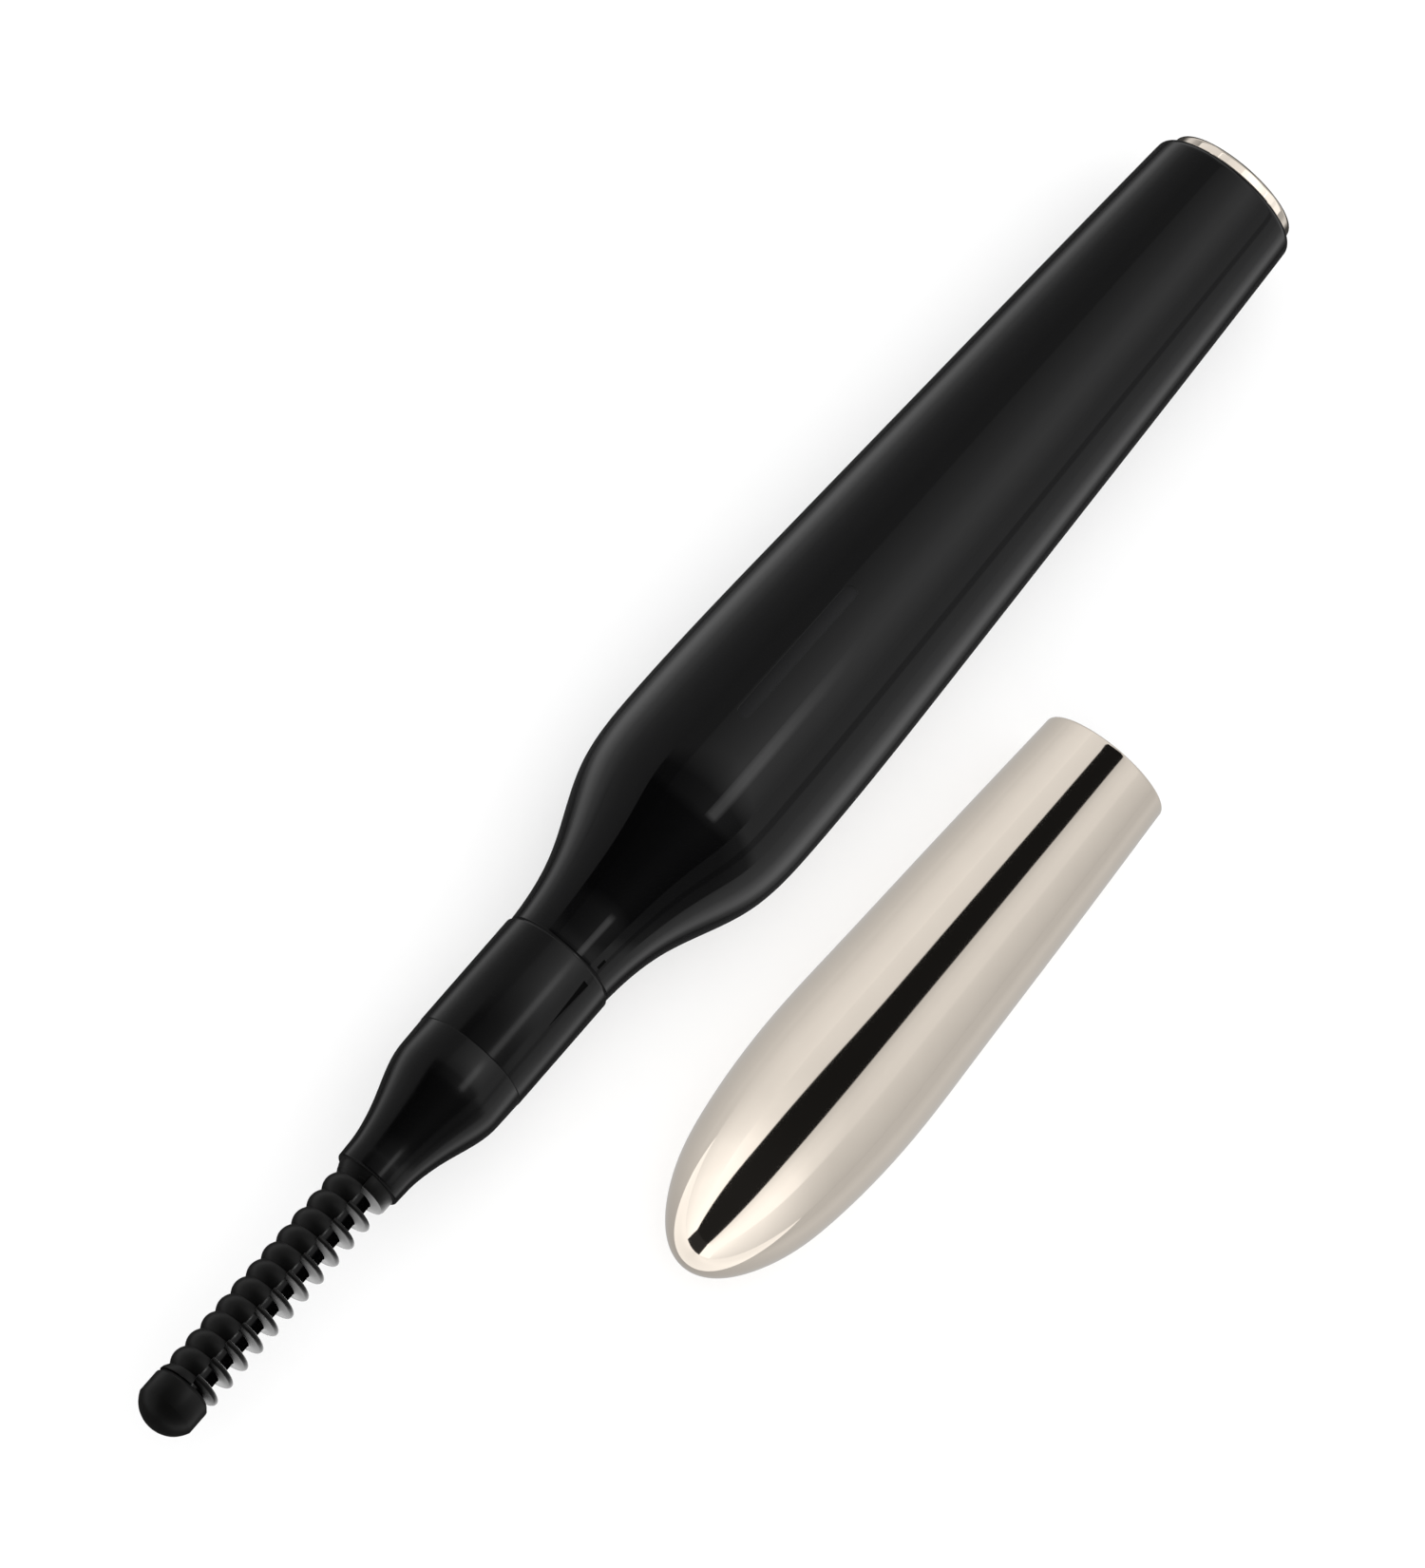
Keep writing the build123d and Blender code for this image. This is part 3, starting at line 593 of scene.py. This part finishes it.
# CAD nodes that keep their own shape, inside the shells, get the material of their slot
replaced = {"handle_top_shell", "handle_bottom_shell", "status_window", "tail_cap", "head_collar",
            "nose_cone", "comb_guard", "heater_tube", "comb_tip", "cap_shell", "cap_liner"}
slots = {part["node"]: part["material_slot"] for part in frame["record"]["subparts"]}
for node, obj in frame["nodes"].items():
    if node not in replaced:
        dress(obj, slots[node])
        smooth(obj.data, 30)

# ---------------------------------------------------------------- camera
TILT = math.radians(16.5)            # how far the view leans towards the comb tip
PEN_SLANT = math.radians(48.91)      # the pen's slope in the picture, down to the left
LOOK_X, LOOK_SIDE = 76.75, 0.04      # picture centre, along the pen and off its axis
FOCAL = 0.6                          # metres
SENSOR = 0.036
SPAN = 143.9 * MM                    # height of the picture at the pen

toward = Vector((math.sin(TILT), 0, math.cos(TILT)))
along = Vector((math.cos(TILT), 0, -math.sin(TILT)))
side = Vector((0, 1, 0))
right = -along * math.cos(PEN_SLANT) + side * math.sin(PEN_SLANT)
up = -along * math.sin(PEN_SLANT) - side * math.cos(PEN_SLANT)
target = TAIL + Vector((LOOK_X, LOOK_SIDE, 0)) * MM
distance = FOCAL * SPAN / SENSOR

lens = bpy.data.cameras.new("camera")
lens.lens = FOCAL * 1000
lens.sensor_width = SENSOR * 1000
lens.clip_end = 20
camera = bpy.data.objects.new("camera", lens)
turn = Matrix((right, up, toward)).transposed().to_4x4()
camera.matrix_world = Matrix.Translation(target + toward * distance) @ turn
bpy.context.scene.collection.objects.link(camera)
bpy.context.scene.camera = camera
bpy.context.scene.view_settings.view_transform = "Standard"

# ---------------------------------------------------------------- floor and world
FLOOR_HALF = 3.0
floor = new_object("floor", [(-FLOOR_HALF, -FLOOR_HALF, 0), (FLOOR_HALF, -FLOOR_HALF, 0),
                             (FLOOR_HALF, FLOOR_HALF, 0), (-FLOOR_HALF, FLOOR_HALF, 0)], [[0, 1, 2, 3]])
floor.data.materials.append(material("floor_white", (0.9, 0.9, 0.9), (0.7, 0.8), mottle=0.005, bump=0.0,
                                     shader={"Specular IOR Level": 0.0}))
floor.visible_glossy = False         # the light cards below stand for it in reflections
floor.visible_shadow = False
floor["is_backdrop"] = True

world = bpy.data.worlds.new("studio")
world.use_nodes = True
world.node_tree.nodes["Background"].inputs["Color"].default_value = (1, 1, 1, 1)
world.cycles_visibility.diffuse = False
world.cycles_visibility.glossy = False
world.cycles_visibility.transmission = False
bpy.context.scene.world = world

# ---------------------------------------------------------------- light cards
# A tent stands round each object: a roof in two halves, two walls, two ends and the ground, as area
# lights whose brightness changes across them. Stops are (position, brightness), in metres.
ROOF = 0.5
WALL_Y = 0.6
REACH_X = 1.2
GROUND_Z = -0.0005                   # just under the floor, which casts no shadow
OVER_GROUND_Z = -0.0004
DOWN = (0, 0, -1)
UPWARD = (0, 0, 1)
TO_LEFT = (0, -1, 0)
TO_RIGHT = (0, 1, 0)


def receivers(name, members):
    group = bpy.data.collections.new(name)
    for obj in members:
        group.objects.link(obj)
    return group


def profile(tree, coordinate, stops):
    """Brightness along one world coordinate, smooth between these stops."""
    low, high = stops[0][0], stops[-1][0]
    scale = tree.nodes.new("ShaderNodeMapRange")
    scale.inputs["From Min"].default_value = low
    scale.inputs["From Max"].default_value = high
    tree.links.new(coordinate, scale.inputs["Value"])
    ramp = tree.nodes.new("ShaderNodeValToRGB")
    elements = ramp.color_ramp.elements
    while len(elements) > 1:
        elements.remove(elements[0])
    for i, (at, level) in enumerate(stops):
        element = elements[0] if i == 0 else elements.new((at - low) / (high - low))
        element.position = (at - low) / (high - low)
        element.color = (level, level, level, 1)
    tree.links.new(scale.outputs["Result"], ramp.inputs["Fac"])
    return ramp.outputs["Color"]


def brightness(tree, x_stops, y_stops, z_stops, skew):
    """Product of the profiles along X, Y and Z that are given, or None without any."""
    spot = tree.nodes.new("ShaderNodeNewGeometry")
    split = tree.nodes.new("ShaderNodeSeparateXYZ")
    tree.links.new(spot.outputs["Position"], split.inputs["Vector"])
    drift = tree.nodes.new("ShaderNodeMath")
    drift.operation = "MULTIPLY_ADD"
    drift.inputs[1].default_value = skew
    tree.links.new(split.outputs["X"], drift.inputs[0])
    tree.links.new(split.outputs["Y"], drift.inputs[2])
    strength = None
    for coordinate, stops in ((split.outputs["X"], x_stops), (drift.outputs["Value"], y_stops),
                              (split.outputs["Z"], z_stops)):
        if stops is None:
            continue
        value = profile(tree, coordinate, stops)
        if strength is None:
            strength = value
        else:
            both = tree.nodes.new("ShaderNodeMath")
            both.operation = "MULTIPLY"
            tree.links.new(strength, both.inputs[0])
            tree.links.new(value, both.inputs[1])
            strength = both.outputs["Value"]
    return strength


def card(name, centre, facing, size, lit, x_stops=None, y_stops=None, z_stops=None, level=1.0, skew=0.0):
    """Rectangular area light at centre. Size is (along X, across), or (along Y, up) on an end wall.

    With a skew, the Y profile drifts towards -Y by that much for each metre towards +X.
    """
    light = bpy.data.lights.new(name, "AREA")
    light.shape = "RECTANGLE"
    light.size, light.size_y = size
    light.energy = level * size[0] * size[1] * math.pi
    light.use_nodes = True
    tree = light.node_tree
    strength = brightness(tree, x_stops, y_stops, z_stops, skew)
    if strength is not None:
        tree.links.new(strength, tree.nodes["Emission"].inputs["Strength"])
    back = -Vector(facing)
    x_axis = Vector((0, 1, 0)) if abs(back.x) > 0.5 else Vector((1, 0, 0))
    obj = bpy.data.objects.new(name, light)
    obj.matrix_world = (Matrix.Translation(Vector(centre))
                        @ Matrix((x_axis, back.cross(x_axis), back)).transposed().to_4x4())
    obj.visible_camera = False
    bpy.context.scene.collection.objects.link(obj)
    obj.light_linking.receiver_collection = lit
    return light


def tent(name, axis_y, lit, roof_x, roof_right, roof_left, skews, right_wall, right_x, left_wall, left_x,
         ground, ground_x, front, rear):
    """Cards round one object. Positions across it are counted from its axis, right is towards +Y.

    The skews are those of the left and the right half of the roof.
    """
    def across(stops):
        return [(axis_y + at, level) for at, level in stops]

    half_roof = (2 * REACH_X, WALL_Y)
    wall = (2 * REACH_X, ROOF)
    end = (2 * WALL_Y, ROOF)
    base = (2 * REACH_X, 2 * WALL_Y)
    card(name + "_roof_right", (0, axis_y + WALL_Y / 2, ROOF), DOWN, half_roof, lit, roof_x,
         across(roof_right), skew=skews[1])
    card(name + "_roof_left", (0, axis_y - WALL_Y / 2, ROOF), DOWN, half_roof, lit, roof_x,
         across(roof_left), skew=skews[0])
    card(name + "_right", (0, axis_y + WALL_Y, ROOF / 2), TO_LEFT, wall, lit, right_x, z_stops=right_wall)
    card(name + "_left", (0, axis_y - WALL_Y, ROOF / 2), TO_RIGHT, wall, lit, left_x, z_stops=left_wall)
    card(name + "_ground", (0, axis_y, GROUND_Z), UPWARD, base, lit, ground_x, across(ground))
    card(name + "_front", (REACH_X, axis_y, ROOF / 2), (-1, 0, 0), end, lit, y_stops=across(front))
    card(name + "_rear", (-REACH_X, axis_y, ROOF / 2), (1, 0, 0), end, lit, y_stops=across(rear))


cap_pieces = receivers("cap_pieces", [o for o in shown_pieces() if body_of(o) == ["cap"]])
pen_pieces = receivers("pen_pieces",
                       [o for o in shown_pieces() if body_of(o) != ["cap"] and o != heater])
tail_pieces = receivers("tail_pieces", [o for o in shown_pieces() if body_of(o) == ["tail_cap"]])
heater_pieces = receivers("heater_pieces", [heater])
comb_pieces = receivers("comb_pieces", [comb])
stage_pieces = receivers("stage_pieces", [floor])

tent("pen", TAIL.y, pen_pieces,
     roof_x=[(-1.2, 1.0), (-0.13, 1.0), (-0.03, 0.3), (0.06, 0.27), (0.12, 0.1), (1.2, 0.04)],
     roof_right=[(0.0, 0.55), (0.102, 0.72), (0.212, 0.8), (0.35, 0.66), (0.53, 0.5), (0.6, 0.5)],
     roof_left=[(-0.6, 0.2), (-0.31, 0.22), (-0.295, 0.31), (-0.212, 0.36), (-0.102, 0.45), (0.0, 0.55)],
     skews=(0.0, 0.0),
     right_wall=[(0.0, 0.5), (0.16, 0.5), (0.17, 0.33), (0.25, 0.33), (0.26, 0.5), (0.5, 0.5)],
     right_x=[(-1.2, 1.0), (-0.03, 0.9), (0.03, 0.4), (0.2, 0.25), (1.2, 0.2)],
     left_wall=[(0.0, 0.33), (0.17, 0.25), (0.5, 0.2)],
     left_x=[(-1.2, 1.0), (1.2, 1.0)],
     ground=[(-0.6, 0.33), (-0.145, 0.4), (-0.061, 0.52), (-0.03, 0.85), (-0.021, 0.06), (0.0, 0.06),
             (0.021, 0.06), (0.03, 0.85), (0.061, 0.52), (0.145, 0.5), (0.6, 0.5)],
     ground_x=[(-1.2, 1.0), (0.02, 1.0), (0.1, 0.8), (1.2, 0.5)],
     front=[(-0.6, 0.1), (0.6, 0.1)],
     rear=[(-0.6, 0.5), (0.6, 0.5)])
tent("cap", CAP_MOUTH.y, cap_pieces,
     roof_x=[(-1.2, 1.0), (-0.1, 1.02), (-0.01, 1.17), (0.05, 1.44), (0.18, 1.62), (0.5, 1.68),
             (1.2, 1.68)],
     roof_right=[(-0.06, 0.01), (0.115, 0.01), (0.121, 0.66), (0.212, 0.79), (0.35, 0.86), (0.54, 0.86),
                 (0.6, 0.8)],
     roof_left=[(-0.9, 0.95), (-0.27, 0.86), (-0.261, 0.84), (-0.253, 0.01), (0.32, 0.01)],
     skews=(0.26, -0.05),
     right_wall=[(0.0, 0.62), (0.17, 0.69), (0.5, 0.8)],
     right_x=[(-1.2, 1.0), (-0.05, 1.0), (0.1, 1.25), (0.3, 1.5), (1.2, 1.9)],
     left_wall=[(0.0, 0.8), (0.17, 0.9), (0.5, 0.98)],
     left_x=[(-1.2, 1.0), (-0.05, 1.0), (0.1, 1.3), (0.3, 1.45), (1.2, 1.6)],
     ground=[(-0.6, 0.85), (-0.06, 0.74), (-0.03, 0.66), (0.0, 0.5), (0.03, 0.7), (0.06, 0.63), (0.6, 0.63)],
     ground_x=[(-1.2, 1.0), (0.03, 1.0), (0.06, 0.8), (1.2, 0.7)],
     front=[(-0.6, 1.45), (-0.575, 1.45), (-0.565, 0.03), (0.17, 0.03), (0.182, 1.45), (0.6, 1.45)],
     rear=[(-0.6, 0.8), (0.6, 0.8)])
# light ground ahead of the cap's closed end
card("cap_ahead", (0.642, CAP_MOUTH.y, OVER_GROUND_Z), UPWARD, (1.2, 1.2), cap_pieces, level=0.7)
# extra light on the tail disc, which is of the cap's metal
TAIL_WALL = 0.55
TAIL_REACH = 1.6
card("tail_gleam", (TAIL.x, TAIL.y, ROOF - 0.02), DOWN, (TAIL_REACH, 2 * TAIL_WALL), tail_pieces,
     y_stops=[(TAIL.y - TAIL_WALL, 0.8), (TAIL.y - 0.03, 0.6), (TAIL.y - 0.02, 0.9),
              (TAIL.y + TAIL_WALL, 0.75)])
card("tail_right", (TAIL.x, TAIL.y + TAIL_WALL, ROOF / 2), TO_LEFT, (TAIL_REACH, ROOF), tail_pieces,
     level=0.85)
card("tail_left", (TAIL.x, TAIL.y - TAIL_WALL, ROOF / 2), TO_RIGHT, (TAIL_REACH, ROOF), tail_pieces,
     level=0.7)
# soft strip that puts the narrow highlight on the belly, the neck and the collar
card("pen_strip", (-0.07, TAIL.y + 0.19, ROOF - 0.01), DOWN, (0.3, 0.14), pen_pieces,
     x_stops=[(-0.22, 0.0), (-0.16, 1.0), (0.05, 1.0), (0.08, 0.0)],
     y_stops=[(TAIL.y + 0.1, 0.0), (TAIL.y + 0.16, 0.85), (TAIL.y + 0.21, 0.85), (TAIL.y + 0.26, 0.0)])
# bright ground beside the comb, which its fins mirror
card("comb_ground", (TAIL.x + 0.141, TAIL.y + 0.016, OVER_GROUND_Z), UPWARD, (0.034, 0.028), comb_pieces,
     level=2.6)
# a narrow strip for the spark of light on the heater between the fins, which is dark otherwise
card("heater_strip", (TAIL.x - 0.008, TAIL.y + 0.17, ROOF), DOWN, (0.07, 0.05), heater_pieces,
     level=4.0)
card("heater_roof", (0.0, TAIL.y, ROOF + 0.01), DOWN, (1.2, 1.2), heater_pieces, level=0.4)
# even light on the floor, most of it without shadows
FLOOR_LIGHT = (0, 0, 1.6)
FLOOR_SIZE = (5, 5)
fill = card("floor_fill", FLOOR_LIGHT, DOWN, FLOOR_SIZE, stage_pieces, level=1.62)
fill.use_shadow = False
card("floor_shade", FLOOR_LIGHT, DOWN, FLOOR_SIZE, stage_pieces, level=0.4)

# the pieces don't mirror each other: each object is lit as if it stood alone
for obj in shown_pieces():
    obj.visible_glossy = False
